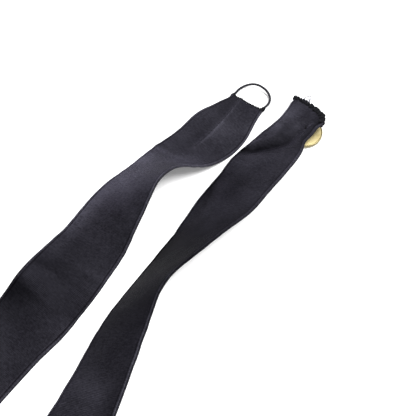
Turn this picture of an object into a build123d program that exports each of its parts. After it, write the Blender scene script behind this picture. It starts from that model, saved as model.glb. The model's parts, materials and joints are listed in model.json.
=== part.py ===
from build123d import *
import os
from math import cos, radians, sin

import numpy as np
from scipy.interpolate import CubicSpline, PchipInterpolator

# Dress suspenders: two satin straps that cross in a sewn keeper.
# Millimetres. The origin is the middle of the keeper's underside, which lies on the table (z = 0).
# +X is to the right, +Y runs towards the front ends of the straps, +Z is up.

os.makedirs("parts", exist_ok=True)

# ---- Strap cloth ----
STRAP_WIDTH = 32.0
SATIN_THICKNESS = 0.55
LINING_THICKNESS = 0.55
LAYER_GAP = 0.1
STRAP_THICKNESS = SATIN_THICKNESS + LAYER_GAP + LINING_THICKNESS
RIGHT_FRONT_SKEW = 11.0
FOLD_GAP = 2.4
SECTION_STEP = 9.0
ROLL_SOFTNESS = 0.05
PATH_SAMPLES = 1500
TANGENT_STEP = 0.5

# Width of the cloth at distances from the cut end: (distance, width).
LOOP_TIP = [(0.0, 20.4), (34.0, STRAP_WIDTH)]
BUTTON_TIP = [(0.0, 23.5), (13.0, 20.8), (42.0, STRAP_WIDTH)]

# ---- Sewn ends ----
THREAD_CLEARANCE = 0.1
CUT_CLEARANCE = 0.3
END_STITCH_LENGTH = 0.8
END_STITCH_THICKNESS = 1.6
TACK_LENGTH = 2.6
TACK_WIDTH = 2.4
TACK_OVERHANG = 0.8
CORNER_INSET = 0.4
TACK_THICKNESS = 1.8
DART_STITCH_WIDTH = 0.6
DART_STITCH_THICKNESS = 0.25
DART_START = 1.0
DART_END = 46.0
DART_START_ACROSS = -5.0
DART_CLEARANCE = 0.2

# ---- Elastic cord loop ----
CORD_RADIUS = 0.55
LOOP_REACH = 11.4
LOOP_BULGE = 0.25
LOOP_SWAY = 1.4
LOOP_LEAN = 2.4
LOOP_POINTS = 9

# ---- Metal button ----
BUTTON_RADIUS = 9.5
BUTTON_HEIGHT = 2.4
BUTTON_WALL = 0.45
BUTTON_RIM_ROUND = 0.7
BUTTON_BACK_THICKNESS = 0.6
BUTTON_BACK_STEP = 0.25
RUNNING_GAP = 0.05
EYE_RADIUS = 1.0
EYE_WIRE_RADIUS = 0.4
EYE_FOOT_RADIUS = 2.4
EYE_FOOT_HEIGHT = 0.4
THREAD_RING_RADIUS = 1.0
THREAD_RADIUS = 0.3
BUTTON_FROM_END = 15.0
FRONT_BUTTON_ACROSS = 6.2
FRONT_BUTTON_LEAN = 8.0

# ---- Filament of the tag on the right front end ----
FILAMENT_RADIUS = 0.12
FILAMENT_LOOP_HALF_WIDTH = 2.2
FILAMENT_LOOP_REACH = 4.2
FILAMENT_LOOP_RISE = 1.3
FILAMENT_ACROSS = 5.5
FILAMENT_POINTS = 7

# ---- Cross keeper ----
KEEPER_HALF_DIAGONAL_X = 31.0
KEEPER_HALF_DIAGONAL_Y = 36.0
KEEPER_CORNER_RADIUS = 5.0
KEEPER_THICKNESS = 0.9
KEEPER_STITCH_X = 27.4
KEEPER_STITCH_Y = 31.0
KEEPER_STITCH_LENGTH = 2.6
KEEPER_STITCH_WIDTH = 1.2
KEEPER_STITCH_PROUD = 0.25

# ---- Where the straps lie at rest ----
# Each station is x, y, the height of the lower edge, and the roll in degrees.
# A positive roll lifts the edge on the right hand of someone walking from the front end to the back end.
LOW = 0.75
LEFT_IN_KEEPER = KEEPER_THICKNESS + LAYER_GAP + STRAP_THICKNESS / 2
RIGHT_IN_KEEPER = LEFT_IN_KEEPER + STRAP_THICKNESS + LAYER_GAP
LEFT_STATIONS = [
    (127.3, 308.8, 1.8, 2), (114, 290, LOW, 12), (95, 270, 2.4, -6), (75, 251, 2.6, -31), (61, 230, 3.9, -14),
    (47, 203, 1.1, 12), (39, 185, LOW, 27), (25, 167, 1.8, 5), (10, 146, LOW, 8),
    (-13, 105, 1.2, 10), (-24, 62, 1.4, 3), (-19, 26, LEFT_IN_KEEPER, 0), (0, 0, LEFT_IN_KEEPER, 0),
    (22, -27, LEFT_IN_KEEPER, 0), (62, -62, 1.2, -20), (112, -84, LOW, -50), (166, -78, LOW, -65),
    (211, -44, LOW, -66), (238, 8, LOW, -52), (247, 62, LOW, -25), (250, 112, 2.0, -4), (253, 160, 5.0, 4),
    (250, 209, 7.4, 0),
]
RIGHT_STATIONS = [
    (160, 299, 4.2, -14), (134, 261, 2.1, -20), (117, 237, 2.4, -20), (97, 208, LOW, -41),
    (80, 185, 1.2, -50), (70, 163, 1.6, -41), (59, 134, LOW, -30), (48, 106, 1.0, -18),
    (35, 68, 1.6, -6), (19, 29, RIGHT_IN_KEEPER, 0), (0, 0, RIGHT_IN_KEEPER, 0), (-20, -28, RIGHT_IN_KEEPER, 0),
    (-50, -58, 1.6, 20), (-92, -77, LOW, 50), (-139, -68, LOW, 65), (-175, -34, LOW, 66), (-194, 14, LOW, 52),
    (-201, 72, LOW, 25), (-204, 134, 1.4, 4), (-208, 202, 2.4, -6), (-202, 275, 2.0, 2),
]

# Numbers of the stations where the straps fold.
LEFT_FRONT_FOLD = 4
LEFT_BACK_FOLD = 20
RIGHT_FRONT_FOLD = 2
RIGHT_BACK_FOLD = 18


def eased(position, start, end):
    """Rises smoothly from 0 at start to 1 at end."""
    part = min(max((position - start) / (end - start), 0.0), 1.0)
    return part * part * (3 - 2 * part)


def tip_width(tip, distance):
    """Width of the cloth at a distance from the cut end that the tip describes."""
    for (start, start_width), (end, end_width) in zip(tip, tip[1:]):
        if distance < end:
            return start_width + (end_width - start_width) * eased(distance, start, end)
    return STRAP_WIDTH


class Strap:
    """One strap at rest: a ribbon that follows its stations from the front end to the back end."""

    def __init__(self, stations, front_tip, back_tip):
        table = np.array(stations, dtype=float)
        table[:, 3] = np.radians(table[:, 3])
        stations_in_order = np.arange(len(table))
        self.path = CubicSpline(stations_in_order, table[:, :2], bc_type="natural")
        self.lie = PchipInterpolator(stations_in_order, table[:, 2:])
        self.knots = np.linspace(0, len(table) - 1, PATH_SAMPLES)
        steps = np.diff(self.path(self.knots), axis=0)
        self.lengths = np.concatenate([[0], np.cumsum(np.hypot(steps[:, 0], steps[:, 1]))])
        self.length = float(self.lengths[-1])
        self.front_tip = front_tip
        self.back_tip = back_tip

    def width(self, position):
        return min(tip_width(self.front_tip, position), tip_width(self.back_tip, self.length - position))

    def position_of(self, station):
        """Distance from the front end, along the strap, of the station with this number."""
        return float(np.interp(station, self.knots, self.lengths))

    def middle(self, position):
        knot = np.interp(position, self.lengths, self.knots)
        x, y = self.path(knot)
        lift, roll = self.lie(knot)
        raised = (sin(roll) ** 2 + ROLL_SOFTNESS**2) ** 0.5 - ROLL_SOFTNESS
        return Vector(x, y, lift + STRAP_WIDTH / 2 * raised), roll

    def frame(self, position):
        """Plane across the strap: x runs along its width, y out of its satin face, z towards the back end."""
        inside = min(max(position, TANGENT_STEP), self.length - TANGENT_STEP)
        centre, roll = self.middle(inside)
        along = (self.middle(inside + TANGENT_STEP)[0] - self.middle(inside - TANGENT_STEP)[0]).normalized()
        level = Vector(0, 0, 1).cross(along).normalized()
        upright = along.cross(level)
        across = level * cos(roll) - upright * sin(roll)
        return Plane(centre + along * (position - inside), x_dir=across, z_dir=along)

    def point(self, position, across, out):
        """Point at a place along the strap, across its width and out of its satin face."""
        return self.frame(position).from_local_coords(Vector(across, out, 0))

    def ribbon(self, start, end, size, centre, skew=0.0):
        """Strip along the strap, from four long edges.

        size and centre give (across, out of the satin) at a position. With a skew, the cut at the
        start lies that much further along the strap at the left-hand edge than at the right-hand edge.
        """
        count = max(2, round((end - start) / SECTION_STEP) + 1)
        edges = []
        for side, face in ((-1, -1), (1, -1), (1, 1), (-1, 1)):
            points = []
            for position in np.linspace(start + side * skew / 2, end, count):
                middle_across, middle_out = centre(position)
                across_size, out_size = size(position)
                across = middle_across + side * across_size / 2
                out = middle_out + face * out_size / 2
                points.append(self.point(position, across, out))
            edges.append(Edge.make_spline(points))
        faces = [Face.make_surface_from_curves(edges[i], edges[(i + 1) % 4]) for i in range(4)]
        for end_of_edge in (0, 1):
            low, low_next, high_next, high = [edge @ end_of_edge for edge in edges]
            near_side = Edge.make_line(low, low_next)
            far_side = Edge.make_line(high, high_next)
            faces.append(Face.make_surface_from_curves(near_side, far_side))
        return Solid(Shell(faces))


def satin(strap, start, end, skew):
    height = (STRAP_THICKNESS - SATIN_THICKNESS) / 2
    return strap.ribbon(start, end, lambda s: (strap.width(s), SATIN_THICKNESS), lambda s: (0, height), skew)


def lining(strap, start, end, skew):
    height = (STRAP_THICKNESS - LINING_THICKNESS) / 2
    return strap.ribbon(start, end, lambda s: (strap.width(s), LINING_THICKNESS), lambda s: (0, -height), skew)


class End:
    """One end of a strap: a plane whose x is across the strap, y is out of the satin and z leaves the strap."""

    def __init__(self, strap, at_front, skew=0.0):
        position = 0.0 if at_front else strap.length
        half_width = strap.width(position) / 2
        left_corner = strap.point(position + skew / 2, half_width, 0)
        right_corner = strap.point(position - skew / 2, -half_width, 0)
        cut = (right_corner - left_corner) * (1 if at_front else -1)
        self.half_width = cut.length / 2
        outward = cut.cross(strap.frame(position).y_dir)
        self.plane = Plane((left_corner + right_corner) / 2, x_dir=cut, z_dir=outward)


def block(end, across, width, length, thickness):
    """Small block of thread that starts just clear of the strap's cut end."""
    size = Box(width, thickness, length, align=(Align.CENTER, Align.CENTER, Align.MIN))
    return end.plane * Pos(across, 0, CUT_CLEARANCE) * size


def end_stitch(end, inset):
    """Overlocked thread along the cut end, stopping short of each corner by inset."""
    width = 2 * (end.half_width - inset)
    return block(end, 0, width, END_STITCH_LENGTH, END_STITCH_THICKNESS)


def tack_across(end):
    """Distance from the middle of the cut end to the middle of a corner knot."""
    return end.half_width + TACK_OVERHANG - TACK_WIDTH / 2


def loop_tacks(end):
    """The two knots of thread that hold the cord at the corners."""
    across = tack_across(end)
    return [block(end, side * across, TACK_WIDTH, TACK_LENGTH, TACK_THICKNESS) for side in (-1, 1)]


def cord_start():
    """Distance from the cut end to where the cord leaves its knots, with room for it to swing."""
    return CUT_CLEARANCE + TACK_LENGTH + CORD_RADIUS + THREAD_CLEARANCE


def cord_loop(end):
    """Elastic cord that leaves one corner knot, arches over and returns to the other."""
    foot = tack_across(end)
    start = cord_start()
    points = []
    for angle in np.radians(np.linspace(0, 180, LOOP_POINTS)):
        across = foot * cos(angle) * (1 + LOOP_BULGE * sin(angle)) + LOOP_SWAY * sin(angle)
        place = Vector(across, LOOP_LEAN * sin(angle) ** 2, start + LOOP_REACH * sin(angle))
        points.append(end.plane.from_local_coords(place))
    path = Spline(*points)
    return sweep(Plane(path @ 0, z_dir=path % 0) * Circle(CORD_RADIUS), path=path)


def disc(radius, low, high):
    height = high - low
    return Pos(0, 0, low) * Cylinder(radius, height, align=(Align.CENTER, Align.CENTER, Align.MIN))


def button_shell():
    """Shallow metal cup with a rounded rim. Its face points down and its open side points up."""
    outer = disc(BUTTON_RADIUS, -BUTTON_HEIGHT, 0)
    outer = fillet(outer.edges().filter_by(GeomType.CIRCLE).sort_by(Axis.Z)[0], BUTTON_RIM_ROUND)
    hollow = disc(BUTTON_RADIUS - BUTTON_WALL, BUTTON_WALL - BUTTON_HEIGHT, 1)
    return outer - hollow


def button_back():
    """Flat plate let into the open side of the cup."""
    radius = BUTTON_RADIUS - BUTTON_WALL - RUNNING_GAP
    return disc(radius, -BUTTON_BACK_STEP - BUTTON_BACK_THICKNESS, -BUTTON_BACK_STEP)


def button_eye():
    """Wire eye on a small foot that stands on the button's back."""
    foot_low = RUNNING_GAP - BUTTON_BACK_STEP
    foot = disc(EYE_FOOT_RADIUS, foot_low, foot_low + EYE_FOOT_HEIGHT)
    return foot + Pos(0, 0, eye_height()) * Rot(90, 0, 0) * Torus(EYE_RADIUS, EYE_WIRE_RADIUS)


def eye_height():
    """Height of the eye's centre above the button's open side. The wire sinks into its foot."""
    return RUNNING_GAP - BUTTON_BACK_STEP + EYE_FOOT_HEIGHT + EYE_RADIUS + EYE_WIRE_RADIUS / 2


def thread_ring():
    """Ring of sewing thread through the eye and up to the lining."""
    return Pos(0, 0, eye_height() + THREAD_RING_RADIUS) * Rot(0, 90, 0) * Torus(THREAD_RING_RADIUS, THREAD_RADIUS)


class HangingButton:
    """A button sewn under a strap: its turning axis, and its parts in place."""

    def __init__(self, strap, position, across, lean):
        hold = strap.point(position, across, -STRAP_THICKNESS / 2 - THREAD_CLEARANCE)
        upward = Vector(0, -sin(radians(lean)), cos(radians(lean)))
        stack = eye_height() + 2 * THREAD_RING_RADIUS + THREAD_RADIUS
        self.plane = Plane(hold - upward * stack, x_dir=(1, 0, 0), z_dir=upward)

    def parts(self, name):
        return {
            name + "_button_shell": self.plane * button_shell(),
            name + "_button_back": self.plane * button_back(),
            name + "_button_eye": self.plane * button_eye(),
            name + "_button_thread": self.plane * thread_ring(),
        }


def dart_stitch(strap):
    """Raised line of stitching that gathers the satin from near one corner to the strap's middle."""
    out = STRAP_THICKNESS / 2 + DART_CLEARANCE + DART_STITCH_THICKNESS / 2

    def place(position):
        part = (position - DART_START) / (DART_END - DART_START)
        return DART_START_ACROSS * (1 - part), out

    return strap.ribbon(DART_START, DART_END, lambda s: (DART_STITCH_WIDTH, DART_STITCH_THICKNESS), place)


def filament_loop(end):
    """Loose end of clear thread that stands out of the overlocked edge as a small loop."""
    start = CUT_CLEARANCE + END_STITCH_LENGTH + THREAD_CLEARANCE
    points = []
    for angle in np.radians(np.linspace(0, 180, FILAMENT_POINTS)):
        across = FILAMENT_ACROSS + FILAMENT_LOOP_HALF_WIDTH * cos(angle)
        place = Vector(across, FILAMENT_LOOP_RISE * sin(angle), start + FILAMENT_LOOP_REACH * sin(angle))
        points.append(end.plane.from_local_coords(place))
    path = Spline(*points)
    return sweep(Plane(path @ 0, z_dir=path % 0) * Circle(FILAMENT_RADIUS), path=path)


def keeper_plate(low):
    """Lozenge of doubled cloth with slots for its corner stitches."""
    corners = [
        (KEEPER_HALF_DIAGONAL_X, 0),
        (0, KEEPER_HALF_DIAGONAL_Y),
        (-KEEPER_HALF_DIAGONAL_X, 0),
        (0, -KEEPER_HALF_DIAGONAL_Y),
    ]
    outline = Polygon(*corners, align=None)
    outline = fillet(outline.vertices(), KEEPER_CORNER_RADIUS)
    plate = Pos(0, 0, low) * extrude(outline, KEEPER_THICKNESS)
    for slot in keeper_stitch_blocks(2 * RUNNING_GAP):
        plate -= slot
    return plate


def keeper_stitch_blocks(extra):
    """The four corner stitches, each wider and longer by extra."""
    height = keeper_top_level() + KEEPER_THICKNESS + KEEPER_STITCH_PROUD
    bar = Box(
        KEEPER_STITCH_LENGTH + extra,
        KEEPER_STITCH_WIDTH + extra,
        height,
        align=(Align.CENTER, Align.CENTER, Align.MIN),
    )
    sides = [Pos(side * KEEPER_STITCH_X, 0, 0) * Rot(0, 0, 90) * bar for side in (-1, 1)]
    ends = [Pos(0, side * KEEPER_STITCH_Y, 0) * bar for side in (-1, 1)]
    return sides + ends


def keeper_top_level():
    """Underside of the keeper's top plate, just clear of the upper strap."""
    return RIGHT_IN_KEEPER + STRAP_THICKNESS / 2 + LAYER_GAP


def save(name, shape):
    if isinstance(shape, list):
        shape = Compound(children=shape)
    export_step(shape, "parts/" + name + ".step")


def strap_pieces(name, strap, front_fold, back_fold, front_skew=0.0):
    """Satin and lining of the front, middle and back stretches, split at the two folds."""
    half_gap = FOLD_GAP / 2
    spans = {
        "front": (0, front_fold - half_gap),
        "middle": (front_fold + half_gap, back_fold - half_gap),
        "back": (back_fold + half_gap, strap.length),
    }
    pieces = {}
    for stretch, (start, end) in spans.items():
        skew = front_skew if stretch == "front" else 0.0
        pieces[f"{name}_{stretch}_satin"] = satin(strap, start, end, skew)
        pieces[f"{name}_{stretch}_lining"] = lining(strap, start, end, skew)
    return pieces


def loop_pieces(name, end):
    inset = TACK_WIDTH - TACK_OVERHANG + THREAD_CLEARANCE
    return {
        name + "_end_stitch": end_stitch(end, inset),
        name + "_loop_tacks": loop_tacks(end),
        name + "_cord_loop": cord_loop(end),
    }


def button_pieces(name, end, button):
    return {name + "_end_stitch": end_stitch(end, CORNER_INSET)} | button.parts(name)


def main():
    left = Strap(LEFT_STATIONS, LOOP_TIP, BUTTON_TIP)
    right = Strap(RIGHT_STATIONS, BUTTON_TIP, LOOP_TIP)
    left_folds = [left.position_of(station) for station in (LEFT_FRONT_FOLD, LEFT_BACK_FOLD)]
    right_folds = [right.position_of(station) for station in (RIGHT_FRONT_FOLD, RIGHT_BACK_FOLD)]
    skewed_end = End(right, True, RIGHT_FRONT_SKEW)
    front_button = HangingButton(right, BUTTON_FROM_END, FRONT_BUTTON_ACROSS, FRONT_BUTTON_LEAN)
    back_button = HangingButton(left, left.length - BUTTON_FROM_END, 0, 0)
    pieces = {
        "keeper_bottom": keeper_plate(0),
        "keeper_top": keeper_plate(keeper_top_level()),
        "keeper_stitches": keeper_stitch_blocks(0),
        "left_front_dart_stitch": dart_stitch(left),
        "right_front_thread_end": filament_loop(skewed_end),
    }
    pieces |= strap_pieces("left", left, *left_folds)
    pieces |= strap_pieces("right", right, *right_folds, RIGHT_FRONT_SKEW)
    pieces |= loop_pieces("left_front", End(left, True))
    pieces |= loop_pieces("right_back", End(right, False))
    pieces |= button_pieces("right_front", skewed_end, front_button)
    pieces |= button_pieces("left_back", End(left, False), back_button)
    for name, shape in pieces.items():
        save(name, shape)


main()
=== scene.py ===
import json
import math
import random

import bpy
import numpy as np
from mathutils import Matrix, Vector


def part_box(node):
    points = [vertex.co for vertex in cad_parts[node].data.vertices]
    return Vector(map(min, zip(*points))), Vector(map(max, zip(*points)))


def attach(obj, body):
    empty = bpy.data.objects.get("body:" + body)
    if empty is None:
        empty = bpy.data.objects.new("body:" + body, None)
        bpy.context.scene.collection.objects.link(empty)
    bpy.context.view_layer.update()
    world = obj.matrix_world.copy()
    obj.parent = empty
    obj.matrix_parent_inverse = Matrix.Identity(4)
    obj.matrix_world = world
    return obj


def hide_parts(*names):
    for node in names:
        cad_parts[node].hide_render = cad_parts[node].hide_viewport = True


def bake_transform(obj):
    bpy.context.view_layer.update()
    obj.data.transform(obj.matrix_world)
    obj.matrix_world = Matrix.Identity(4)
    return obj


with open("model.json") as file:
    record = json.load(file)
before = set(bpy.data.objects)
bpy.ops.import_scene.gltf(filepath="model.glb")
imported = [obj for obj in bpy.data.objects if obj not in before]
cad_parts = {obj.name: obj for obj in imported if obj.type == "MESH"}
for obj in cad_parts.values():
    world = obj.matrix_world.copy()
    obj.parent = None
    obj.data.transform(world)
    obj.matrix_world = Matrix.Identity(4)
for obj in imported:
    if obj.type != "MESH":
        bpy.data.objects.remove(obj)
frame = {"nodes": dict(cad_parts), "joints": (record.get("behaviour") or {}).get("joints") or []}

# Dress suspenders: satin straps with lining, thread-bound ends, cord loops, gold buttons and a cross keeper.
# Metres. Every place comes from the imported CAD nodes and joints.

for name in ("Cube", "Light", "Camera"):
    if name in bpy.data.objects:
        bpy.data.objects.remove(bpy.data.objects[name])
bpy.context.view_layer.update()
random.seed(11)
MM = 0.001
JOINTS = {joint["name"]: joint for joint in frame["joints"]}
UP = np.array([0.0, 0.0, 1.0])
TURN = 2 * math.pi


def unit(vectors):
    """A vector, or each row of several, made one long."""
    return vectors / np.linalg.norm(vectors, axis=-1, keepdims=True)


def running_length(points):
    """Length along a line of points up to each of them."""
    return np.concatenate([[0], np.cumsum(np.linalg.norm(np.diff(points, axis=0), axis=1))])


def read_line(points, lengths, where):
    """Points of a line, or any rows of values that go with its lengths, at other lengths."""
    return np.stack([np.interp(where, lengths, column) for column in np.asarray(points).T], axis=-1)


def node_points(name):
    return np.array([vertex.co for vertex in frame["nodes"][name].data.vertices], float)


# -------- where the straps lie

STRAPS = ("left", "right")
TRACE_STEP = 3 * MM
# A cut across a strap takes in what lies this near, and its edges are the points in a band at either extreme.
TRACE_REACH = 23 * MM
EXTREME_BAND = 0.45 * MM
FEWEST_POINTS = 4
CUT_BAND = 0.4 * MM
DIRECTION_REACH = 4 * MM
# The strap has ended when this many cuts in a row find nothing or less than this share of the last width.
END_MISSES = 3
END_NARROWING = 0.88


class Trace:
    """The line of one strap, read from its CAD satin: middle, width direction and normal by length."""

    def __init__(self, strap):
        points, edges = [], []
        for stretch in ("front", "middle", "back"):
            data = frame["nodes"][f"{strap}_{stretch}_satin"].data
            first = len(points)
            points.extend(np.array(vertex.co) for vertex in data.vertices)
            edges.extend((first + a, first + b) for a, b in (edge.vertices for edge in data.edges))
        self.points = np.array(points)
        self.edges = np.array(edges)
        fold = JOINTS[f"{strap}_front_fold"]
        start = np.array(fold["pos_m"])
        across = np.array(fold["axis"])
        along = unit(np.cross(across, UP))
        back = self.march(start, along, across)
        front = self.march(start, -along, across)
        self.middle, self.across, self.widths = map(np.array, zip(*front[::-1], *back))
        self.lengths = running_length(self.middle)

    def close(self, cuts):
        """Ends the line exactly at the middles of the two cuts, so that length 0 is the front cut."""
        front, back = cuts
        keep_off = TRACE_STEP / 2
        inside = (self.lengths > front.length + keep_off) & (self.lengths < back.length - keep_off)
        stops = []
        for cut in cuts:
            beside = self.at(cut.length)[0]
            stops.append(cut.middle + cut.normal * ((beside - cut.middle) @ cut.normal))
        across = self.at(front.length)[1], self.at(back.length)[1]
        self.middle = np.vstack([stops[0], self.middle[inside], stops[1]])
        self.across = np.vstack([across[0], self.across[inside], across[1]])
        self.widths = np.hstack([2 * front.half_across, self.widths[inside], 2 * back.half_across])
        self.lengths = running_length(self.middle)

    def cut(self, place, along, across):
        """Where the plane through place meets the satin: (middle, width direction, width), or None."""
        side = (self.points - place) @ along
        a, b = self.edges[:, 0], self.edges[:, 1]
        crossing = side[a] * side[b] < 0
        a, b = a[crossing], b[crossing]
        part = (side[a] / (side[a] - side[b]))[:, None]
        met = self.points[a] * (1 - part) + self.points[b] * part
        met = met[np.linalg.norm(met - place, axis=1) < TRACE_REACH]
        if len(met) < FEWEST_POINTS:
            return None
        spread = (met - place) @ across
        low = met[spread < spread.min() + EXTREME_BAND].mean(0)
        high = met[spread > spread.max() - EXTREME_BAND].mean(0)
        return (low + high) / 2, unit(high - low), np.linalg.norm(high - low)

    def march(self, start, along, across):
        """Cuts the strap every few millimetres until it ends."""
        stops, place, misses, width = [], start, 0, None
        while misses < END_MISSES:
            place = place + along * TRACE_STEP
            found = self.cut(place, along, across)
            if found is None or (width and found[2] < END_NARROWING * width):
                misses += 1
                continue
            misses = 0
            middle, across, width = found
            if stops:
                along = unit(middle - stops[-1][0])
            stops.append((middle, across, width))
            place = middle
        return stops

    def at(self, length):
        """Middle, width direction, normal and along direction at lengths, carried straight past the ends."""
        length = np.asarray(length, float)
        inside = np.clip(length, self.lengths[0], self.lengths[-1])
        ahead = read_line(self.middle, self.lengths, inside + DIRECTION_REACH)
        behind = read_line(self.middle, self.lengths, inside - DIRECTION_REACH)
        along = unit(ahead - behind)
        across = read_line(self.across, self.lengths, inside)
        across = unit(across - along * np.sum(across * along, axis=-1, keepdims=True))
        normal = np.cross(along, across)
        middle = read_line(self.middle, self.lengths, inside) + along * (length - inside)[..., None]
        return middle, across, normal, along

    def nearest(self, point):
        """Length along the strap of the place nearest to a point, which may lie past an end."""
        index = int(np.argmin(np.linalg.norm(self.middle - point, axis=1)))
        length = self.lengths[index]
        for _ in range(4):
            middle, _, _, along = self.at(length)
            length = length + float((point - middle) @ along)
        return length


class Cut:
    """The cut end of a strap: its middle, its line from edge to edge and its outward direction."""

    def __init__(self, strap, end):
        trace = TRACES[strap]
        self.sign = -1 if end == "front" else 1
        cloth = node_points(f"{strap}_{end}_satin")
        stitch = node_points(f"{strap}_{end}_end_stitch")
        centre = stitch.mean(0)
        self.line = unit(np.linalg.svd(stitch - centre)[2][0])
        _, across, self.normal, along = trace.at(trace.nearest(centre))
        if self.line @ across < 0:
            self.line = -self.line
        self.outward = unit(np.cross(self.line, self.normal))
        if self.outward @ along * self.sign < 0:
            self.outward = -self.outward
        past = (cloth - centre) @ self.outward
        self.middle = centre + self.outward * past.max()
        spread = (cloth[past > past.max() - CUT_BAND] - centre) @ self.line
        self.length = trace.nearest(self.middle)
        self.slope = float((self.line @ along) / (self.line @ across))
        self.half_across = np.ptp(spread) / 2 * float(self.line @ across)

    def place(self, across, out, beyond):
        """Point by distance along the cut line, out of the satin and beyond the cut, all in metres."""
        return self.middle + self.line * across + self.normal * out + self.outward * beyond


TRACES = {strap: Trace(strap) for strap in STRAPS}
for strap, trace in TRACES.items():
    trace.close([Cut(strap, "front"), Cut(strap, "back")])
CUTS = {(strap, end): Cut(strap, end) for strap in STRAPS for end in ("front", "back")}
KEEPER_MIDDLE = np.array(sum(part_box("keeper_top"), Vector()) / 2)
CROSSING = {strap: trace.nearest(KEEPER_MIDDLE) for strap, trace in TRACES.items()}


# -------- meshes

def mesh_piece(name, points, faces, material, smooth=True):
    data = bpy.data.meshes.new(name)
    data.from_pydata([tuple(point) for point in points], [], [tuple(face) for face in faces])
    data.validate()
    data.update()
    data.polygons.foreach_set("use_smooth", [smooth] * len(data.polygons))
    piece = bpy.data.objects.new(name, data)
    bpy.context.scene.collection.objects.link(piece)
    data.materials.append(material)
    return piece


def ring_faces(rows, columns):
    """Quads round a stack of closed rings."""
    faces = []
    for row in range(rows - 1):
        low, high = row * columns, (row + 1) * columns
        for column in range(columns):
            across = (column + 1) % columns
            faces.append((low + column, low + across, high + across, high + column))
    return faces


def end_faces(rows, columns):
    """Flat faces that close the first and the last ring of a stack."""
    last = (rows - 1) * columns
    return [tuple(range(columns))[::-1], tuple(range(last, last + columns))]


SAMPLES_PER_CONTROL = 24


def smooth_line(controls, count):
    """Catmull-Rom curve through the controls, evenly spaced along its length."""
    controls = np.asarray(controls, float)
    controls = np.vstack([2 * controls[0] - controls[1], controls, 2 * controls[-1] - controls[-2]])
    dense = []
    for p0, p1, p2, p3 in zip(controls, controls[1:], controls[2:], controls[3:]):
        t = np.linspace(0, 1, SAMPLES_PER_CONTROL, endpoint=False)[:, None]
        square, cube = 2 * p0 - 5 * p1 + 4 * p2 - p3, 3 * p1 - p0 - 3 * p2 + p3
        dense.append(0.5 * (2 * p1 + (p2 - p0) * t + square * t**2 + cube * t**3))
    dense = np.vstack(dense + [controls[-2][None]])
    lengths = running_length(dense)
    return read_line(dense, lengths, np.linspace(0, lengths[-1], count))


def tube(line, radius, sides=10, relief=None):
    """Points and faces of a round tube along a line. relief(distance, angle) scales the radius."""
    line = np.asarray(line, float)
    along = unit(np.gradient(line, axis=0))
    distances = running_length(line)
    side = unit(np.cross(along[0], UP if abs(along[0] @ UP) < 0.9 else np.array([1.0, 0, 0])))
    points = []
    for place, direction, distance in zip(line, along, distances):
        side = unit(side - direction * (side @ direction))
        other = np.cross(direction, side)
        for step in range(sides):
            angle = TURN * step / sides
            size = radius * (relief(distance, angle) if relief else 1.0)
            points.append(place + (side * math.cos(angle) + other * math.sin(angle)) * size)
    return points, ring_faces(len(line), sides) + end_faces(len(line), sides)


def install(piece, slot, body, *nodes):
    """Puts a piece in the place of CAD nodes, riding on their body."""
    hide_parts(*nodes)
    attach(piece, body)


def join(parts):
    """One list of points and faces from several."""
    points, faces = [], []
    for some_points, some_faces in parts:
        first = len(points)
        points.extend(some_points)
        faces.extend(tuple(first + index for index in face) for face in some_faces)
    return points, faces


def lathe(profile, segments, place, upward):
    """Points and faces of a turned shape, from a profile of (radius, height) that ends on the axis."""
    side = unit(np.cross(upward, np.array([0.0, 1.0, 0.0])))
    other = np.cross(upward, side)
    points = []
    for radius, height in profile:
        for step in range(segments):
            angle = TURN * step / segments
            out = side * math.cos(angle) + other * math.sin(angle)
            points.append(place + upward * height + out * radius)
    return points, ring_faces(len(profile), segments)


# -------- relief of the cloth

# Distances from the keeper within which the cloth has no ripples, and past which it has them all.
KEEPER_CALM = (34 * MM, 60 * MM)
FLOOR_GAP = 0.1 * MM
SATIN_LEVEL = 0.0
LINING_LEVEL = -0.64 * MM
LAYER_THICKNESS = 0.52 * MM
HEM_WIDTH = 1.25 * MM
HEM_BEAD = 0.16 * MM
HEM_GROOVE, HEM_GROOVE_WIDTH = 0.20 * MM, 0.3 * MM


def eased(value, start, end):
    """Share that grows smoothly from 0 at start to 1 at end."""
    part = np.clip((value - start) / (end - start), 0, 1)
    return part * part * (3 - 2 * part)


def ripple(length, across, size, seed):
    """Smooth noise over the cloth, from -1 to 1, with features about size long."""
    column, row = np.floor(length / size), np.floor(across / size)
    column_part, row_part = eased(length / size - column, 0, 1), eased(across / size - row, 0, 1)

    def value(column, row):
        scattered = np.sin(column * 127.1 + row * 311.7 + seed * 74.7) * 43758.5
        return 2 * (scattered - np.floor(scattered)) - 1

    low = value(column, row) * (1 - column_part) + value(column + 1, row) * column_part
    high = value(column, row + 1) * (1 - column_part) + value(column + 1, row + 1) * column_part
    return low * (1 - row_part) + high * row_part


def crease_distance(length, across):
    """Signed distance from the line of the sewn crease, and the share of the way along it."""
    line = np.array(DART_END) - np.array(DART_START)
    ahead, beside = length - DART_START[0], across - DART_START[1]
    share = (ahead * line[0] + beside * line[1]) / (line @ line)
    return (beside * line[0] - ahead * line[1]) / np.linalg.norm(line), share


def bump(distance, width):
    """Smooth hump, 1 at no distance and about a third at its width."""
    return np.exp(-((distance / width) ** 2))


DART_START = (-1 * MM, -4.3 * MM)
DART_END = (47 * MM, 0.2 * MM)
SEEDS = {"left": 3.1, "right": 8.7}
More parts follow.
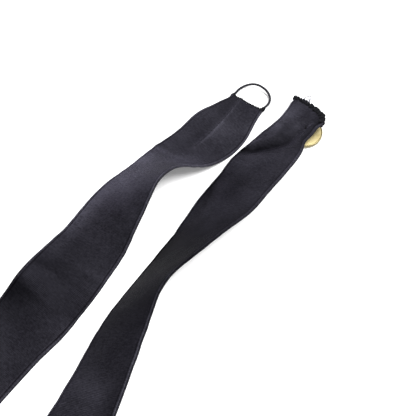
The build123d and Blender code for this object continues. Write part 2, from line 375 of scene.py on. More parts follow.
# Heights of the relief in millimetres, and sizes in metres.
SWELL, SWELL_SIZE = 0.30, 23 * MM
CRINKLE, CRINKLE_SIZE = 0.10, 7 * MM
GATHERS = {("left", "front"): 0.08, ("right", "front"): 0.2, ("left", "back"): 0.2, ("right", "back"): 0.2}
GATHER_PITCH, GATHER_WANDER, GATHER_FADE = 0.75 * MM, 9 * MM, 6 * MM
LIP, LIP_WIDTH = 0.40, 0.5 * MM
TENT, TENT_WIDTH = 1.1, 4.5 * MM
VALLEY_DEPTH, VALLEY_WIDTH = 2.9, 3.8 * MM
BANK, BANK_PLACE, BANK_WIDTH = 0.9, -7.5 * MM, 4.5 * MM


def valley(length):
    """Place across the right strap of its soft valley: two slanted stretches with a level one between."""
    first = 9.5 * MM * eased(length, 10 * MM, 21 * MM)
    second = 21 * MM * eased(length, 28 * MM, 48 * MM)
    return 13 * MM - first - second


def gathers(strap, length, across):
    """Small waves where the sewing draws the cloth in at the cuts, in millimetres."""
    height = 0
    for end in ("front", "back"):
        cut = CUTS[strap, end]
        inward = np.maximum((length - cut.length) * -cut.sign - cut.slope * across * (end == "front"), 0)
        wander = 2.0 * ripple(length, across, GATHER_WANDER, SEEDS[strap] + 9)
        fade = np.exp(-inward / GATHER_FADE) * eased(inward, -1.5 * MM, 3 * MM)
        height = height + GATHERS[strap, end] * fade * np.sin(across / GATHER_PITCH + wander)
    return height


def crease(length, across):
    """The sewn crease of the left strap: a sharp lip along the top of a low tent, in millimetres."""
    beside, share = crease_distance(length, across)
    shape = LIP * bump(beside, LIP_WIDTH) + TENT * np.exp(-np.abs(beside) / TENT_WIDTH)
    return eased(share, 1.12, 0.80) * eased(share, -0.05, 0.12) * shape


def hollow(length, across):
    """The soft valley of the right strap and the bank beside it, in millimetres."""
    slope = (valley(length + MM) - valley(length - MM)) / (2 * MM)
    beside = (across - valley(length)) / np.sqrt(1 + slope**2)
    strength = eased(length, 8 * MM, 16 * MM) * eased(length, 52 * MM, 38 * MM)
    strength *= eased(half_width("right", length) - np.abs(across), -1 * MM, 5 * MM)
    bank = BANK * bump(beside - BANK_PLACE, BANK_WIDTH)
    return strength * (bank - VALLEY_DEPTH * bump(beside, VALLEY_WIDTH))


def relief(strap, length, across):
    """How far the cloth stands out of its plain ribbon, along the normal, in metres."""
    height = SWELL * ripple(length, across, SWELL_SIZE, SEEDS[strap])
    height = height + CRINKLE * ripple(length, across, CRINKLE_SIZE, SEEDS[strap] + 5)
    height *= eased(np.abs(length - CROSSING[strap]), *KEEPER_CALM)
    height += gathers(strap, length, across)
    height += crease(length, across) if strap == "left" else hollow(length, across)
    return height * MM


# Where the right strap's edges stand out or in: place and reach along it, and how far.
EAR = (11 * MM, 4.2 * MM, 3.0 * MM)
FLAP = (19 * MM, 6.0 * MM, 2.6 * MM)
SHOULDER = (50 * MM, 11 * MM, -2.2 * MM)


def ear(strap, length, across_share):
    """How far the right strap's edges stand out near its front cut, stretched by the sewing and the folds."""
    if strap == "left":
        return 0 * length
    tip, flap, shoulder = (size * bump(length - place, reach) for place, reach, size in (EAR, FLAP, SHOULDER))
    return (tip + flap) * eased(across_share, 0.45, 1.0) + shoulder * eased(across_share, -0.2, -1.0)


def cloth_point(strap, length, across, out=0.0):
    """Point on the cloth with its relief."""
    middle, width, normal, _ = TRACES[strap].at(length)
    return middle + width * across + normal * (out + float(relief(strap, length, across)))


ALONG_STEP = {"front": 1.0 * MM, "back": 1.6 * MM}
ACROSS_CELLS = 44
EDGE_STEPS = 4
EDGE_CROWDING = 0.35
CUT_BULGE = {"left": -0.9 * MM, "right": 1.7 * MM}
CUT_FADE = 40 * MM


def half_width(strap, length):
    trace = TRACES[strap]
    return np.interp(length, trace.lengths, trace.widths) / 2


def cut_offset(strap, across, half):
    """How far along the strap the front cut lies at a place across it."""
    return CUTS[strap, "front"].slope * across - CUT_BULGE[strap] * (1 - (across / half) ** 2)


def cloth_profile():
    """Cross-section of a strip: (share across from -1 to 1, inset from the edge, height) round the loop."""
    radius = LAYER_THICKNESS / 2
    top = []
    for step in range(ACROSS_CELLS + 1):
        crowded, even = -math.cos(math.pi * step / ACROSS_CELLS), 2 * step / ACROSS_CELLS - 1
        top.append((EDGE_CROWDING * crowded + (1 - EDGE_CROWDING) * even, radius, radius))
    turns = np.linspace(0, math.pi, EDGE_STEPS + 2)[1:-1]
    right = [(1, radius * (1 - math.sin(t)), radius * math.cos(t)) for t in turns]
    bottom = [(-share, inset, -height) for share, inset, height in top]
    left = [(-share, inset, -height) for share, inset, height in right]
    return top + right + bottom + left


def hem(edge):
    """Extra height of the turned hem, in metres, at a distance from the strap's edge."""
    bead = HEM_BEAD * bump(edge - 0.5 * HEM_WIDTH, 0.45 * HEM_WIDTH)
    return bead - HEM_GROOVE * bump(edge - HEM_WIDTH, HEM_GROOVE_WIDTH)


def strip_ends(rows, columns, cells):
    """Faces over the two ends of a strip: quads from its top to its bottom and a fan in each rounded edge."""
    faces = []
    for base in (0, (rows - 1) * columns):
        bottom = base + 2 * cells + 1 + EDGE_STEPS
        closing = [(base + c, base + c + 1, bottom - c - 1, bottom - c) for c in range(cells)]
        closing.append(tuple(base + c for c in range(cells, cells + EDGE_STEPS + 2)))
        closing.append(tuple(base + c % columns for c in range(columns - EDGE_STEPS - 1, columns + 1)))
        faces.extend([face[::-1] for face in closing] if base else closing)
    return faces


def cloth_strip(name, strap, end, level, material, overhang=0.0):
    """One layer of the strap from one of its cuts to the middle of the keeper."""
    shares, insets, heights = np.array(cloth_profile()).T
    first, last = sorted((CUTS[strap, end].length, CROSSING[strap]))
    rows, columns = int(round((last - first) / ALONG_STEP[end])) + 1, len(shares)
    plain = np.linspace(first, last, rows)[:, None]
    half = half_width(strap, plain) + overhang
    across = shares * (half - insets)
    edge = half - np.abs(across)
    length = plain + 0 * across
    if end == "front":
        length = length + cut_offset(strap, across, half) * eased(plain, first + CUT_FADE, first)
        across = across + ear(strap, length, across / half)
    height = level + heights + np.where(heights > 0, hem(edge), 0) + relief(strap, length, across)
    middle, width, normal, _ = TRACES[strap].at(length.ravel())
    points = middle + width * across.reshape(-1, 1) + normal * height.reshape(-1, 1)
    points[:, 2] = np.maximum(points[:, 2], FLOOR_GAP)
    faces = ring_faces(rows, columns) + strip_ends(rows, columns, ACROSS_CELLS)
    piece = mesh_piece(name, points, faces, material)
    places = np.stack([length.ravel(), across.ravel()], axis=1)
    add_texture(piece, places, edge.ravel(), painted_light(strap, length, across))
    return piece


# The patches below are painted highlight and painted shade on the satin's colour.
# Patches set where the photo's satin is brighter or duller than the light makes it here: place and reach
# along the strap, strength, and the places across it where a patch starts and is full. In millimetres.
PATCHES = {
    "left": [(62, 14, 1.0, -6, 8), (122, 20, 0.5, -5, -13)],
    "right": [(10, 8, 0.75, 3, -9), (70, 12, -0.2, 8, -2), (92, 13, 0.55, -2, -10), (190, 9, 0.3, 14, 4)],
}


def painted_light(strap, length, across):
    """Painted highlight and painted shade on the satin: how much brighter it is painted than plain satin, or,
    below 0, how much darker.
    """
    along, aside = length / MM, across / MM
    # Painted highlight towards the front ends.
    gain = 0.30 * eased(along, 62, 30)
    for place, reach, strength, start, end in PATCHES[strap]:
        gain = gain + strength * bump(along - place, reach) * eased(aside, start, end)
    if strap == "left":
        # Painted highlight over the left strap's hump, then painted shade further along.
        gain += 0.85 * bump(along - 76, 18) * eased(aside + 0.12 * (along - 78), 12, -9)
        gain -= 0.27 * bump(along + 0.3 * aside - 160, 13)
        beside, share = crease_distance(length, across)
        lit, shaded = 0.45 * bump(beside / MM - 0.3, 0.5), 0.16 * bump(beside / MM + 3.5, 3)
        gain += eased(share, 1.10, 0.95) * eased(share, -0.05, 0.05) * (lit - shaded)
    else:
        # Painted shade in the right strap's valley, over its twist and along its edge near the button.
        in_valley = bump(aside - valley(length) / MM + 2.6, 4.4) * eased(along, 10, 18) * eased(along, 54, 42)
        gain -= in_valley * (0.2 + 0.4 * eased(along, 19, 29))
        gain -= 0.32 * bump(along - 126, 32)
        gain -= 0.3 * eased(aside, 7, 10) * eased(along, 42, 28)
    return gain.ravel()


def add_texture(piece, texture, edges, painted_lights):
    """Cloth coordinates in metres as UVs, with the distance from the edge in millimetres and the painted
    highlight and shade.
    """
    data = piece.data
    layer = data.uv_layers.new(name="cloth")
    corner_vertices = np.zeros(len(data.loops), np.int32)
    data.loops.foreach_get("vertex_index", corner_vertices)
    layer.data.foreach_set("uv", np.array(texture, np.float32)[corner_vertices].ravel())
    for name, values in (("edge_mm", np.array(edges) / MM), ("painted_light", np.array(painted_lights))):
        attribute = data.attributes.new(name, "FLOAT", "POINT")
        attribute.data.foreach_set("value", values.astype(np.float32))


def bend(piece, strap, end):
    """Bakes a piece's placement into its mesh; the strap's fold near one end is looked up, but the piece is
    not bent.
    """
    fold = np.array(JOINTS[f"{strap}_{end}_fold"]["pos_m"])
    _, _, _, along = TRACES[strap].at(TRACES[strap].nearest(fold))
    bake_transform(piece)


# -------- materials

class Graph:
    """The shader nodes of one new material or world."""

    def __init__(self, name, owners=bpy.data.materials):
        self.owner = owners.new(name)
        self.owner.use_nodes = True
        self.nodes, self.links = self.owner.node_tree.nodes, self.owner.node_tree.links

    def feed(self, socket, value):
        """Links an output to a socket, or sets the socket to a plain value."""
        if isinstance(value, bpy.types.NodeSocket):
            self.links.new(value, socket)
        else:
            socket.default_value = value

    def add(self, kind, **values):
        """New node. The values are its own settings or its inputs, by name."""
        node = self.nodes.new(kind)
        for key, value in values.items():
            if hasattr(node, key):
                setattr(node, key, value)
            else:
                self.feed(node.inputs[key], value)
        return node

    def math(self, operation, *values):
        node = self.add("ShaderNodeMath", operation=operation)
        for socket, value in zip(node.inputs, values):
            self.feed(socket, value)
        return node.outputs[0]

    def total(self, *shares):
        """Sum of several outputs, each times its share."""
        total = 0.0
        for value, share in shares:
            total = self.math("MULTIPLY_ADD", value, share, total)
        return total

    def vector(self, operation, first, second=(0, 0, 0)):
        node = self.add("ShaderNodeVectorMath", operation=operation)
        self.feed(node.inputs[0], first)
        self.feed(node.inputs[1], second)
        return node.outputs["Value" if operation in ("LENGTH", "DOT_PRODUCT") else "Vector"]

    def scaled(self, vector, scale):
        return self.add("ShaderNodeVectorMath", operation="SCALE", Vector=vector, Scale=scale).outputs[0]

    def stretched(self, vector, scale):
        return self.add("ShaderNodeMapping", Vector=vector, Scale=scale).outputs[0]

    def noise(self, vector, scale, detail, roughness=0.5):
        node = self.add("ShaderNodeTexNoise", Vector=vector, Scale=scale, Detail=detail, Roughness=roughness)
        return node.outputs[0]

    def attribute(self, name):
        return self.add("ShaderNodeAttribute", attribute_name=name).outputs["Fac"]

    def ramp(self, value, *stops):
        """Colour ramp. The colour of a stop may be one number, for a grey."""
        node = self.add("ShaderNodeValToRGB", Fac=value)
        elements = node.color_ramp.elements
        while len(elements) < len(stops):
            elements.new(0.5)
        for element, (place, colour) in zip(elements, stops):
            element.position = place
            element.color = (*colour, 1) if isinstance(colour, tuple) else (colour, colour, colour, 1)
        return node.outputs[0]

    def tinted(self, colour, tint):
        node = self.add("ShaderNodeMix", data_type="RGBA", blend_type="MULTIPLY")
        for index, value in ((0, 1.0), (6, colour), (7, tint)):
            self.feed(node.inputs[index], value)
        return node.outputs[2]

    def bumped(self, height, strength, depth):
        return self.add("ShaderNodeBump", Strength=strength, Distance=depth, Height=height).outputs[0]

    def finish(self, inputs, shader="Principled BSDF"):
        """Feeds the shader's inputs, by name, and gives the material or world."""
        for name, value in inputs.items():
            self.feed(self.nodes[shader].inputs[name], value)
        return self.owner


PAINTED_LIGHT_GAIN = 1.9
DARKEST_PAINTED_SHADE = 0.15
THREAD_TO_RIB = 0.62
HEM_RAMP_MM = 4.0


def cloth_material(name, deep, light, roughness, gloss, rib_mm, rib_depth):
    """Ribbed cloth: ribs across the strap, threads along it, slubs, painted highlight and painted shade along
    the turned hem, and patches of painted highlight and painted shade.
    """
    graph = Graph(name)
    cloth = graph.add("ShaderNodeUVMap", uv_map="cloth").outputs[0]
    split = graph.add("ShaderNodeSeparateXYZ", Vector=cloth)
    rib = graph.math("SINE", graph.math("MULTIPLY", split.outputs[0], TURN / (rib_mm * MM)))
    thread_pitch = rib_mm * THREAD_TO_RIB * MM
    thread = graph.math("SINE", graph.math("MULTIPLY", split.outputs[1], TURN / thread_pitch))
    millimetres = graph.stretched(cloth, (1 / MM, 1 / MM, 1))
    slubs = graph.noise(graph.stretched(cloth, (2.2 / MM, 0.35 / MM, 1)), 1.0, 3.0, 0.6)
    grain = graph.noise(millimetres, 0.85, 4.0, 0.75)
    cloud = graph.noise(millimetres, 0.06, 3.0, 0.55)
    tone = graph.total((slubs, 0.45), (grain, 0.45), (cloud, 0.3))
    colour = graph.ramp(tone, (0.50, deep), (0.70, light))
    # The attribute read here is painted highlight and painted shade: it scales the colour, and where it
    # darkens it also dims the specular tint and the sheen.
    gain = graph.math("MULTIPLY_ADD", graph.attribute("painted_light"), PAINTED_LIGHT_GAIN, 1.0)
    gain = graph.math("MAXIMUM", gain, DARKEST_PAINTED_SHADE)
    painted_shade_share = graph.math("MINIMUM", gain, 1.0)
    edge = graph.math("DIVIDE", graph.attribute("edge_mm"), HEM_RAMP_MM)
    # Painted highlight along the rolled edge and a line of painted shade in the hem groove.
    hem_highlight_and_shade = graph.ramp(edge, (0.0, 1.9), (0.18, 1.5), (0.24, 0.9), (0.31, 0.3), (0.40, 1.0))
    surface = {
        "Base Color": graph.tinted(graph.scaled(colour, gain), hem_highlight_and_shade),
        "Roughness": graph.math("MULTIPLY_ADD", grain, 0.22, roughness),
        "Normal": graph.bumped(graph.total((rib, 1.0), (thread, 0.45), (grain, 1.4)), 0.5, rib_depth),
        "Metallic": gloss,
        "Specular Tint": graph.scaled((0.24, 0.22, 0.30), painted_shade_share),
        "Specular IOR Level": 0.04,
        "Sheen Tint": (0.72, 0.66, 1.0, 1),
        "Sheen Weight": graph.math("MULTIPLY", painted_shade_share, 0.012),
        "Sheen Roughness": 0.4,
    }
    return graph.finish(surface)


def thread_material(name, deep, light, pitch_mm, roughness=0.75):
    """Twisted black thread or braided cord, with fuzz."""
    graph = Graph(name)
    place = graph.stretched(graph.add("ShaderNodeTexCoord").outputs["Object"], (1 / MM, 1 / MM, 1 / MM))
    twist = graph.add("ShaderNodeTexWave", wave_type="BANDS", bands_direction="DIAGONAL", Vector=place)
    graph.feed(twist.inputs["Scale"], 0.32 / pitch_mm)
    graph.feed(twist.inputs["Distortion"], 1.5)
    tone = graph.total((twist.outputs["Fac"], 0.5), (graph.noise(place, 3.0, 4.0, 0.7), 0.5))
    surface = {
        "Base Color": graph.ramp(tone, (0.25, deep), (0.8, light)),
        "Normal": graph.bumped(tone, 0.6, 0.08 * MM),
        "Roughness": roughness,
        "Specular IOR Level": 0.06,
    }
    return graph.finish(surface)


TURNING_PITCH_MM = 0.25
RIM_SHADE_RAMP_MM = 20.0
WALL_SHADE_RAMP_MM = 2.5


def gold_material(name, place, upward):
    """Pale gold plate: fine turning marks, wear, painted shade down the side wall and painted shade round the
    rim.
    """
    graph = Graph(name)
    position = graph.add("ShaderNodeTexCoord").outputs["Object"]
    millimetres = graph.scaled(graph.vector("SUBTRACT", position, tuple(place)), 1 / MM)
    distance = graph.vector("LENGTH", millimetres)
    depth = graph.math("MULTIPLY", graph.vector("DOT_PRODUCT", millimetres, tuple(upward)), -1 / WALL_SHADE_RAMP_MM)
    marks = graph.math("SINE", graph.math("MULTIPLY", distance, TURN / TURNING_PITCH_MM))
    wear = graph.noise(millimetres, 0.45, 5.0, 0.65)
    dull, plain, bright = (0.80, 0.65, 0.29), (0.90, 0.76, 0.38), (0.95, 0.83, 0.47)
    colour = graph.ramp(wear, (0.3, dull), (0.5, plain), (0.72, bright))
    # Painted shade that darkens the side wall with depth; above it the gold is painted slightly brighter.
    wall = graph.ramp(depth, (0.0, 1.12), (0.03, 1.0), (0.14, 0.40), (0.8, 0.5))
    outwards = graph.math("DIVIDE", distance, RIM_SHADE_RAMP_MM)
    # Painted shade round the rim.
    rim = graph.ramp(outwards, (0.0, 1.0), (0.43, 1.0), (0.455, 0.55), (0.6, 0.45))
    surface = {
        "Base Color": graph.tinted(graph.tinted(colour, wall), rim),
        "Metallic": 0.7,
        "Roughness": graph.math("MULTIPLY_ADD", wear, 0.3, 0.32),
        "Normal": graph.bumped(graph.math("ADD", marks, wear), 0.12, 0.02 * MM),
    }
    return graph.finish(surface)


def clear_material(name):
    """Clear nylon thread with a little dust."""
    graph = Graph(name)
    dust = graph.noise(graph.add("ShaderNodeTexCoord").outputs["Object"], 900.0, 2.0)
    surface = {
        "Base Color": graph.ramp(dust, (0.3, (0.05, 0.05, 0.08)), (0.7, (0.12, 0.12, 0.16))),
        "Roughness": graph.math("MULTIPLY", dust, 0.4),
        "Transmission Weight": 0.1,
        "IOR": 1.5,
    }
    return graph.finish(surface)


SATIN_COLOURS = ((0.0105, 0.0100, 0.0132), (0.0230, 0.0222, 0.0285))
LINING_COLOURS = ((0.0080, 0.0078, 0.0098), (0.0160, 0.0155, 0.0190))
THREAD_COLOURS = ((0.003, 0.003, 0.004), (0.014, 0.014, 0.017))
CORD_COLOURS = ((0.010, 0.010, 0.013), (0.036, 0.035, 0.043))
SATIN = cloth_material("satin", *SATIN_COLOURS, roughness=0.36, gloss=0.6, rib_mm=0.62, rib_depth=0.04 * MM)
LINING = cloth_material("lining", *LINING_COLOURS, roughness=0.60, gloss=0.3, rib_mm=0.8, rib_depth=0.06 * MM)
THREAD = thread_material("sewing_thread", *THREAD_COLOURS, pitch_mm=0.35)
CORD = thread_material("elastic_cord", *CORD_COLOURS, pitch_mm=0.6, roughness=0.6)
CLEAR = clear_material("clear_thread")


# -------- straps

# Each layer's level under the satin, how far it stands out past the satin's edges, and its material.
LAYERS = {"satin": (SATIN_LEVEL, 0.0, SATIN), "lining": (LINING_LEVEL, 0.3 * MM, LINING)}

for strap in STRAPS:
    for layer, (level, overhang, material) in LAYERS.items():
        for end in ("front", "back"):
            piece = cloth_strip(f"{strap}_{end}_{layer}_cloth", strap, end, level, material, overhang)
            replaced = [f"{strap}_{end}_{layer}"] + ([f"{strap}_middle_{layer}"] if end == "front" else [])
            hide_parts(*replaced)
            bend(piece, strap, end)


# -------- sewn ends

YARN_PITCH = 0.22 * MM
CUT_SAMPLES, SIDE_SAMPLES, EDGE_SAMPLES = 60, 14, 400
STITCH_STEPS = 14
KNOT_TURNS = 9


def yarn(distance, angle):
    """Twist of a sewing thread."""
    return 1 + 0.12 * math.sin(2 * angle + distance / YARN_PITCH)


def edge_path(strap, end, keep_off, turn_down):
    """Lengths and places across of the sewn edge: along the cut, then down one side if it turns down."""
    cut = CUTS[strap, end]
    half = cut.half_across - keep_off
    across = np.linspace(-half, half, CUT_SAMPLES)
    lengths = cut.length + (cut_offset(strap, across, cut.half_across) if end == "front" else 0 * across)
    if turn_down:
        down = np.linspace(0, turn_down, SIDE_SAMPLES)[1:]
        lengths = np.concatenate([lengths, lengths[-1] + down])
        across = np.concatenate([across, half_width(strap, lengths[CUT_SAMPLES:])])
    across = across + ear(strap, lengths, across / half)
    return lengths, across


def overlock(strap, end, radius, pitch, wrap, keep_off=0.0, turn_down=0.0):
    """Thread wound closely over the raw edge from corner to corner, a little uneven."""
    cut = CUTS[strap, end]
    places = zip(*edge_path(strap, end, keep_off, turn_down))
    base = smooth_line([cloth_point(strap, *place, LINING_LEVEL / 2) for place in places], EDGE_SAMPLES)
    outward = unit(np.cross(unit(np.gradient(base, axis=0)), cut.normal))
    if outward[EDGE_SAMPLES // 2] @ cut.outward < 0:
        outward = -outward
    turns = int(running_length(base)[-1] / pitch)
    rise = 0.6 * MM + 0.8 * radius
    line = []
    for turn in range(turns):
        swell = random.uniform(0.65, 1.4)
        drift = random.uniform(-0.35, 0.35)
        for step in range(STITCH_STEPS):
            part = step / STITCH_STEPS
            angle = TURN * part
            place = (turn + part + drift * math.sin(angle / 2) ** 2) / turns * (EDGE_SAMPLES - 1)
            index = int(np.clip(round(place), 0, EDGE_SAMPLES - 1))
            beyond = wrap * swell * math.cos(angle) - 0.35 * wrap
            line.append(base[index] + cut.normal * rise * math.sin(angle) + outward[index] * beyond)
    return tube(smooth_line(line, len(line) * 2), radius, 8, yarn)


def knot(cut, across, low, high, size):
    """Thread wound into a tight spindle round the foot of the cord, from low to high beyond the cut."""
    line = []
    steps = KNOT_TURNS * STITCH_STEPS
    for step in range(steps + 1):
        share = step / steps
        angle = TURN * KNOT_TURNS * share
        reach = size * (0.55 + 0.45 * math.sin(math.pi * share)) * random.uniform(0.96, 1.04)
        beyond = low + share * (high - low) + 0.25 * MM * math.sin(angle * 0.37)
        line.append(cut.place(across + reach * math.cos(angle), 0.8 * reach * math.sin(angle), beyond))
    return tube(smooth_line(line, len(line) * 2), 0.3 * MM, 8, yarn)


CORD_RADIUS = 0.68 * MM
CORD_ROOT = -1.6 * MM
CORD_SAMPLES = 260
CORD_SHOULDER = 1.5 * MM
BRAID_PITCH = 0.26 * MM


def braid(distance, angle):
    """Plait of an elastic cord."""
    along = distance / BRAID_PITCH
    return 1 + 0.10 * math.sin(4 * angle + along) * math.sin(4 * angle - along)


def cord_line(cut, cord, foot):
    """Line of a cord loop: up from one foot, over a leaning crown and down to the other."""
    beyond, beside = cord @ cut.outward, cord @ cut.line
    start, top = beyond.min(), beyond.max() - CORD_RADIUS
    rise = (cord @ cut.normal).max() - CORD_RADIUS
    crown = beside[beyond > beyond.max() - CORD_RADIUS].mean()
    wide = np.ptp(beside) / 2 - CORD_RADIUS - foot
    line = [cut.place(foot, 0, CORD_ROOT)]
    for angle in np.linspace(0, math.pi, 15):
        height = math.sin(angle)
        across = (foot + 1.35 * wide * height) * math.cos(angle) + crown * height
        across += CORD_SHOULDER * max(math.sin(2 * angle), 0)
        line.append(cut.place(across, rise * height**2, start + (top - start) * height))
    line.append(cut.place(-foot, 0, CORD_ROOT))
    return smooth_line(line, CORD_SAMPLES)


def loop_end(strap, end):
    """Overlocked edge, two knots and the cord loop."""
    name = f"{strap}_{end}"
    cut = CUTS[strap, end]
    sewn = overlock(strap, end, radius=0.26 * MM, pitch=0.66 * MM, wrap=0.6 * MM, keep_off=1.2 * MM)
    install(mesh_piece(f"{name}_overlock", *sewn, THREAD), "sewing_thread", name, f"{name}_end_stitch")
    tacks = node_points(f"{name}_loop_tacks") - cut.middle
    beyond, beside = tacks @ cut.outward, tacks @ cut.line
    inner, outer = beside[beside > 0].min(), beside.max()
    foot, size = (outer + inner) / 2, (outer - inner) / 2
    wound = [knot(cut, side * foot, CORD_ROOT, 0.6 * beyond.max(), 0.85 * size) for side in (-1, 1)]
    install(mesh_piece(f"{name}_knots", *join(wound), THREAD), "sewing_thread", name, f"{name}_loop_tacks")
    line = cord_line(cut, node_points(f"{name}_cord_loop") - cut.middle, foot)
    loop = mesh_piece(f"{name}_cord", *tube(line, CORD_RADIUS, 16, braid), CORD)
    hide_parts(f"{name}_cord_loop")
    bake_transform(loop)


def button_end(strap, end):
    """Overlocked edge and the button under it."""
    name = f"{strap}_{end}"
    turn_down = 7 * MM if end == "front" else 0.0
    sewn = overlock(strap, end, radius=0.72 * MM, pitch=2.0 * MM, wrap=1.0 * MM, turn_down=turn_down)
    install(mesh_piece(f"{name}_overlock", *sewn, THREAD), "sewing_thread", name, f"{name}_end_stitch")
    turn = JOINTS[f"{name}_button_turn"]
    place, upward = np.array(turn["pos_m"]), np.array(turn["axis"])
    shell = node_points(f"{name}_button_shell") - place
    heights = shell @ upward
    radius = np.linalg.norm(shell - np.outer(heights, upward), axis=1).max()
    back = (node_points(f"{name}_button_back") - place) @ upward
    gold = gold_material(f"{name}_gold", place, upward)
    profiles = {
        ("cup", "shell"): cup_profile(radius, heights.min()),
        ("plate", "back"): plate_profile(radius - 0.5 * MM, back.min(), back.max()),
    }
    for (part, node), profile in profiles.items():
        piece = mesh_piece(f"{name}_button_{part}", *lathe(profile, 96, place, upward), gold)
        install(piece, "gold_metal", f"{name}_button", f"{name}_button_{node}")
    paint_node(f"{name}_button_eye", gold)
    paint_node(f"{name}_button_thread", THREAD)


def rounded(centre_radius, centre_height, size, start, end, steps=6):
    """Arc of a turned profile, angles in degrees from the outward radius."""
    angles = np.radians(np.linspace(start, end, steps))
    return [(centre_radius + size * math.cos(a), centre_height + size * math.sin(a)) for a in angles]


def cup_profile(radius, low):
    """Shallow cup: flat face below with a turned groove, rounded rim, rolled lip above."""
    rim, lip, wall, groove = 0.7 * MM, 0.22 * MM, 0.45 * MM, 0.16 * MM
    face = [(0.0, low), (0.35 * radius, low), (0.62 * radius, low), (0.66 * radius, low + groove)]
    face += [(0.72 * radius, low + groove), (0.76 * radius, low)]
    outside = rounded(radius - rim, low + rim, rim, -90, 0)
    top = rounded(radius - lip, -lip, lip, 0, 180)
    inside = [(radius - wall, low + 2 * wall), (radius - 2 * wall, low + wall)]
    inside += [(0.5 * radius, low + wall), (0, low + wall)]
    return face + outside + top + inside


def plate_profile(radius, low, high):
    """Back plate with a rolled edge and a slight dish."""
    edge, dish = (high - low) / 2, 0.08 * MM
    top = rounded(radius - edge, low + edge, edge, -90, 90)
    top += [(0.5 * radius, high - dish), (0.2 * radius, high), (0.0, high)]
    return [(0.0, low), (0.5 * radius, low)] + top


def paint_node(name, material):
    """Gives a node that keeps its CAD mesh a procedural material."""
    data = frame["nodes"][name].data
    data.materials.clear()
    data.materials.append(material)
    data.polygons.foreach_set("use_smooth", [True] * len(data.polygons))


loop_end("left", "front")
loop_end("right", "back")
button_end("right", "front")
button_end("left", "back")


# -------- dart, clear thread

DASHES = 22
DASH_START, DASH_STOP = 0.12, 0.80
SHORTEST_DASH = 0.6 * MM


def dart():
    """Short stitches that hold the crease on the left strap."""
    start, end = np.array(DART_START), np.array(DART_END)
    first_length = CUTS["left", "front"].length + 1.0 * MM
    parts = []
    for dash in range(DASHES):
        low, high = (dash + DASH_START) / DASHES, (dash + DASH_STOP) / DASHES
        line = []
        for share in np.linspace(low, high, 6):
            length, across = start + (end - start) * share
            bow = math.sin(math.pi * (share - low) / (high - low))
            line.append(cloth_point("left", max(length, first_length), across, (0.20 + 0.12 * bow) * MM))
        if np.linalg.norm(line[-1] - line[0]) > SHORTEST_DASH:
            parts.append(tube(line, 0.09 * MM, 6))
    piece = mesh_piece("left_front_dart", *join(parts), THREAD)
    install(piece, "sewing_thread", "left_front", "left_front_dart_stitch")


# Each loose loop of clear thread: its shift sideways, its size and its height, as shares of the CAD loop's.
CLEAR_LOOPS = ((0.0, 1.0, 1.0), (0.6, 0.7, 0.5))


def clear_thread():
    """Two loose loops of clear thread at the right strap's front end."""
    cut = CUTS["right", "front"]
    local = node_points("right_front_thread_end") - cut.middle
    across = local @ cut.line
    middle, wide, reach = (across.min() + across.max()) / 2, np.ptp(across) / 2, (local @ cut.outward).max()
    rise = (local @ cut.normal).max()
    parts = []
    for shift, size, lean in CLEAR_LOOPS:
        line = []
        for angle in np.linspace(-0.25, math.pi + 0.5, 16):
            beside = middle + wide * (shift + size * math.cos(angle))
            height = math.sin(angle)
            line.append(cut.place(beside, rise * lean * height, reach * size * height))
        parts.append(tube(smooth_line(line, 60), 0.22 * MM, 8))
    piece = mesh_piece("right_front_clear_thread", *join(parts), CLEAR)
    install(piece, "clear_thread", "right_front", "right_front_thread_end")


dart()
clear_thread()


# -------- keeper

def outline_of(name, count):
    """Even points round a node's outline seen from above."""
    flat = sorted({(round(p[0], 6), round(p[1], 6)) for p in node_points(name)})

    def half_hull(candidates):
        hull = []
        for point in candidates:
            while len(hull) > 1:
                (ax, ay), (bx, by) = hull[-2], hull[-1]
                if (bx - ax) * (point[1] - ay) - (by - ay) * (point[0] - ax) > 0:
                    break
                hull.pop()
            hull.append(point)
        return hull[:-1]

    hull = half_hull(flat) + half_hull(flat[::-1])
    closed = np.array(hull + hull[:1])
    lengths = running_length(closed)
    return read_line(closed, lengths, np.linspace(0, lengths[-1], count, endpoint=False))


PAD_SIDES = 160
PAD_INSETS_MM = [1.2, 1.7, 2.1, 2.6, 4.0, 7.0, 11.0, 16.0, 22.0]
SMALLEST_RING = 0.02
PAD_RIPPLE, PAD_RIPPLE_SIZE, PAD_SEED = 0.08 * MM, 7 * MM, 21.0


def keeper_pad(name, node, puff):
    """Lozenge of turned-in cloth: a rolled hem round the edge and a soft swell over the straps."""
    outline = outline_of(node, PAD_SIDES)
    low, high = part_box(node)
    centre = outline.mean(0)
    radius = np.linalg.norm(outline - centre, axis=1).min()
    roll = (high.z - low.z) / 2
    rings = [(roll * (1 - math.sin(t)), -math.cos(t), False) for t in np.linspace(0, math.pi, 7)]
    flat = [inset * MM for inset in PAD_INSETS_MM]
    rings = [(inset, -1, True) for inset in reversed(flat)] + rings + [(inset, 1, True) for inset in flat]
    points, texture, edges = [], [], []
    for inset, side, on_face in rings:
        share = max(1 - inset / radius, SMALLEST_RING)
        for corner in outline:
            place = centre + (corner - centre) * share
            height = low.z + roll + side * roll
            if on_face and side > 0:
                height += hem(inset) + puff * (1 - share**2)
                height += PAD_RIPPLE * ripple(place[0], place[1], PAD_RIPPLE_SIZE, PAD_SEED)
            points.append((place[0], place[1], height))
            texture.append((place[1], place[0]))
            edges.append(inset)
    faces = ring_faces(len(rings), PAD_SIDES) + end_faces(len(rings), PAD_SIDES)
    piece = mesh_piece(name, points, faces, SATIN)
    add_texture(piece, texture, edges, np.zeros(len(edges)))
    install(piece, "keeper_cloth", "keeper", node)


BAR_TURNS = 9
BAR_STEPS = 12
BAR_DEPTH = 2.2 * MM
BAR_OVERHANG = 0.1 * MM
BAR_THREAD = 0.16 * MM


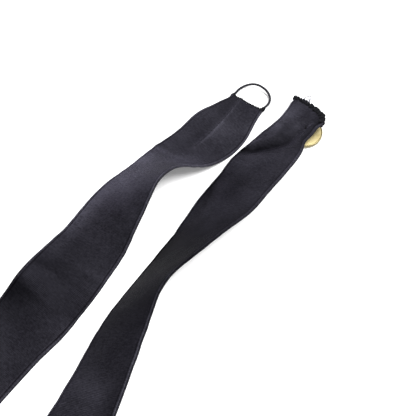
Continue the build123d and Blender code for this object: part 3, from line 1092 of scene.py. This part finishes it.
def zigzag(low, high):
    """Line of a thread wound closely round a bar, from its lower corner to its upper one."""
    centre, half = (high + low) / 2, (high - low) / 2
    long_axis = 0 if half[0] > half[1] else 1
    line = []
    for step in range(BAR_TURNS * BAR_STEPS + 1):
        angle = TURN * step / BAR_STEPS
        point = centre.copy()
        point[long_axis] += half[long_axis] * (2 * step / (BAR_TURNS * BAR_STEPS) - 1)
        point[1 - long_axis] += (half[1 - long_axis] + BAR_OVERHANG) * math.cos(angle)
        point[2] += (half[2] - 0.75 * BAR_THREAD) * math.sin(angle)
        line.append(point)
    return line


def corner_stitches():
    """A bar of close zigzag thread over each corner of the keeper."""
    block = node_points("keeper_stitches")
    parts = []
    for direction in ((1, 0), (-1, 0), (0, 1), (0, -1)):
        reach = block[:, :2] @ direction
        bar = block[reach > reach.max() - BAR_DEPTH]
        parts.append(tube(zigzag(bar.min(0), bar.max(0)), BAR_THREAD, 6))
    piece = mesh_piece("keeper_corner_thread", *join(parts), THREAD)
    install(piece, "sewing_thread", "keeper", "keeper_stitches")


keeper_pad("keeper_top_cloth", "keeper_top", puff=0.5 * MM)
keeper_pad("keeper_bottom_cloth", "keeper_bottom", puff=0.0)
corner_stitches()


# -------- floor, light, camera

FLOOR_HALF = 8.0
FLOOR_GLOW, FAR_GLOW = 0.20, 1.2
FADE_START, FADE_END = 0.6, 2.2
SURROUND_LIGHT = 0.42
SURROUND_SEEN = 1.1


def floor():
    """Pale table that fades into the white surroundings far from the piece."""
    graph = Graph("paper")
    place = graph.add("ShaderNodeNewGeometry").outputs["Position"]
    distance = graph.vector("LENGTH", place)
    fade = {"From Min": FADE_START, "From Max": FADE_END, "To Min": FLOOR_GLOW, "To Max": FAR_GLOW}
    glow = graph.add("ShaderNodeMapRange", interpolation_type="SMOOTHSTEP", Value=distance, **fade)
    surface = {
        "Base Color": graph.ramp(graph.noise(place, 900.0, 2.0), (0.3, 0.85), (0.7, 0.87)),
        "Emission Color": (1, 1, 1, 1),
        "Emission Strength": glow.outputs[0],
        "Roughness": 0.9,
        "Specular IOR Level": 0.1,
    }
    corners = [(x * FLOOR_HALF, y * FLOOR_HALF, 0) for x, y in ((-1, -1), (1, -1), (1, 1), (-1, 1))]
    mesh_piece("floor", corners, [(0, 1, 2, 3)], graph.finish(surface), smooth=False)


def stand(name, data, place, forward):
    """Puts a light or a camera in the scene, looking forward."""
    item = bpy.data.objects.new(name, data)
    bpy.context.scene.collection.objects.link(item)
    item.location = place
    item.rotation_mode = "QUATERNION"
    item.rotation_quaternion = forward.to_track_quat("-Z", "Y")
    return item


def area_light(name, place, target, size, power):
    data = bpy.data.lights.new(name, "AREA")
    data.energy = power
    data.shape = "DISK"
    data.size = size
    stand(name, data, place, Vector(target) - Vector(place))


CAMERA_TARGET = Vector((105 * MM, 235 * MM, 0))
CAMERA_ELEVATION = math.radians(52)
CAMERA_DISTANCE = 293.6 * MM
SENSOR_MM = 36
FOCAL_SHARE = 600 / 416


def camera():
    """Looks at the table between the two front ends and the place where the straps leave the view."""
    data = bpy.data.cameras.new("camera")
    data.sensor_width = SENSOR_MM
    data.lens = SENSOR_MM * FOCAL_SHARE
    data.clip_start = 0.01
    data.clip_end = 50
    back = Vector((0, -math.cos(CAMERA_ELEVATION), math.sin(CAMERA_ELEVATION)))
    bpy.context.scene.camera = stand("camera", data, CAMERA_TARGET + back * CAMERA_DISTANCE, -back)


def light():
    """A wide light high in front on the right, a low one behind, and dim surroundings that look white."""
    graph = Graph("studio", bpy.data.worlds)
    seen = graph.add("ShaderNodeLightPath").outputs["Is Camera Ray"]
    levels = {"To Min": SURROUND_LIGHT, "To Max": SURROUND_SEEN}
    strength = graph.add("ShaderNodeMapRange", Value=seen, **levels).outputs[0]
    bpy.context.scene.world = graph.finish({"Color": (1, 1, 1, 1), "Strength": strength}, "Background")
    area_light("overhead", place=(0.72, -0.16, 1.5), target=(0.1, 0.2, 0), size=0.9, power=44)
    area_light("sheen", place=(-0.28, 0.75, 0.27), target=(0.08, 0.24, 0), size=0.22, power=3.4)
    bpy.context.scene.view_settings.view_transform = "Standard"
    bpy.context.scene.view_settings.look = "None"


floor()
light()
camera()
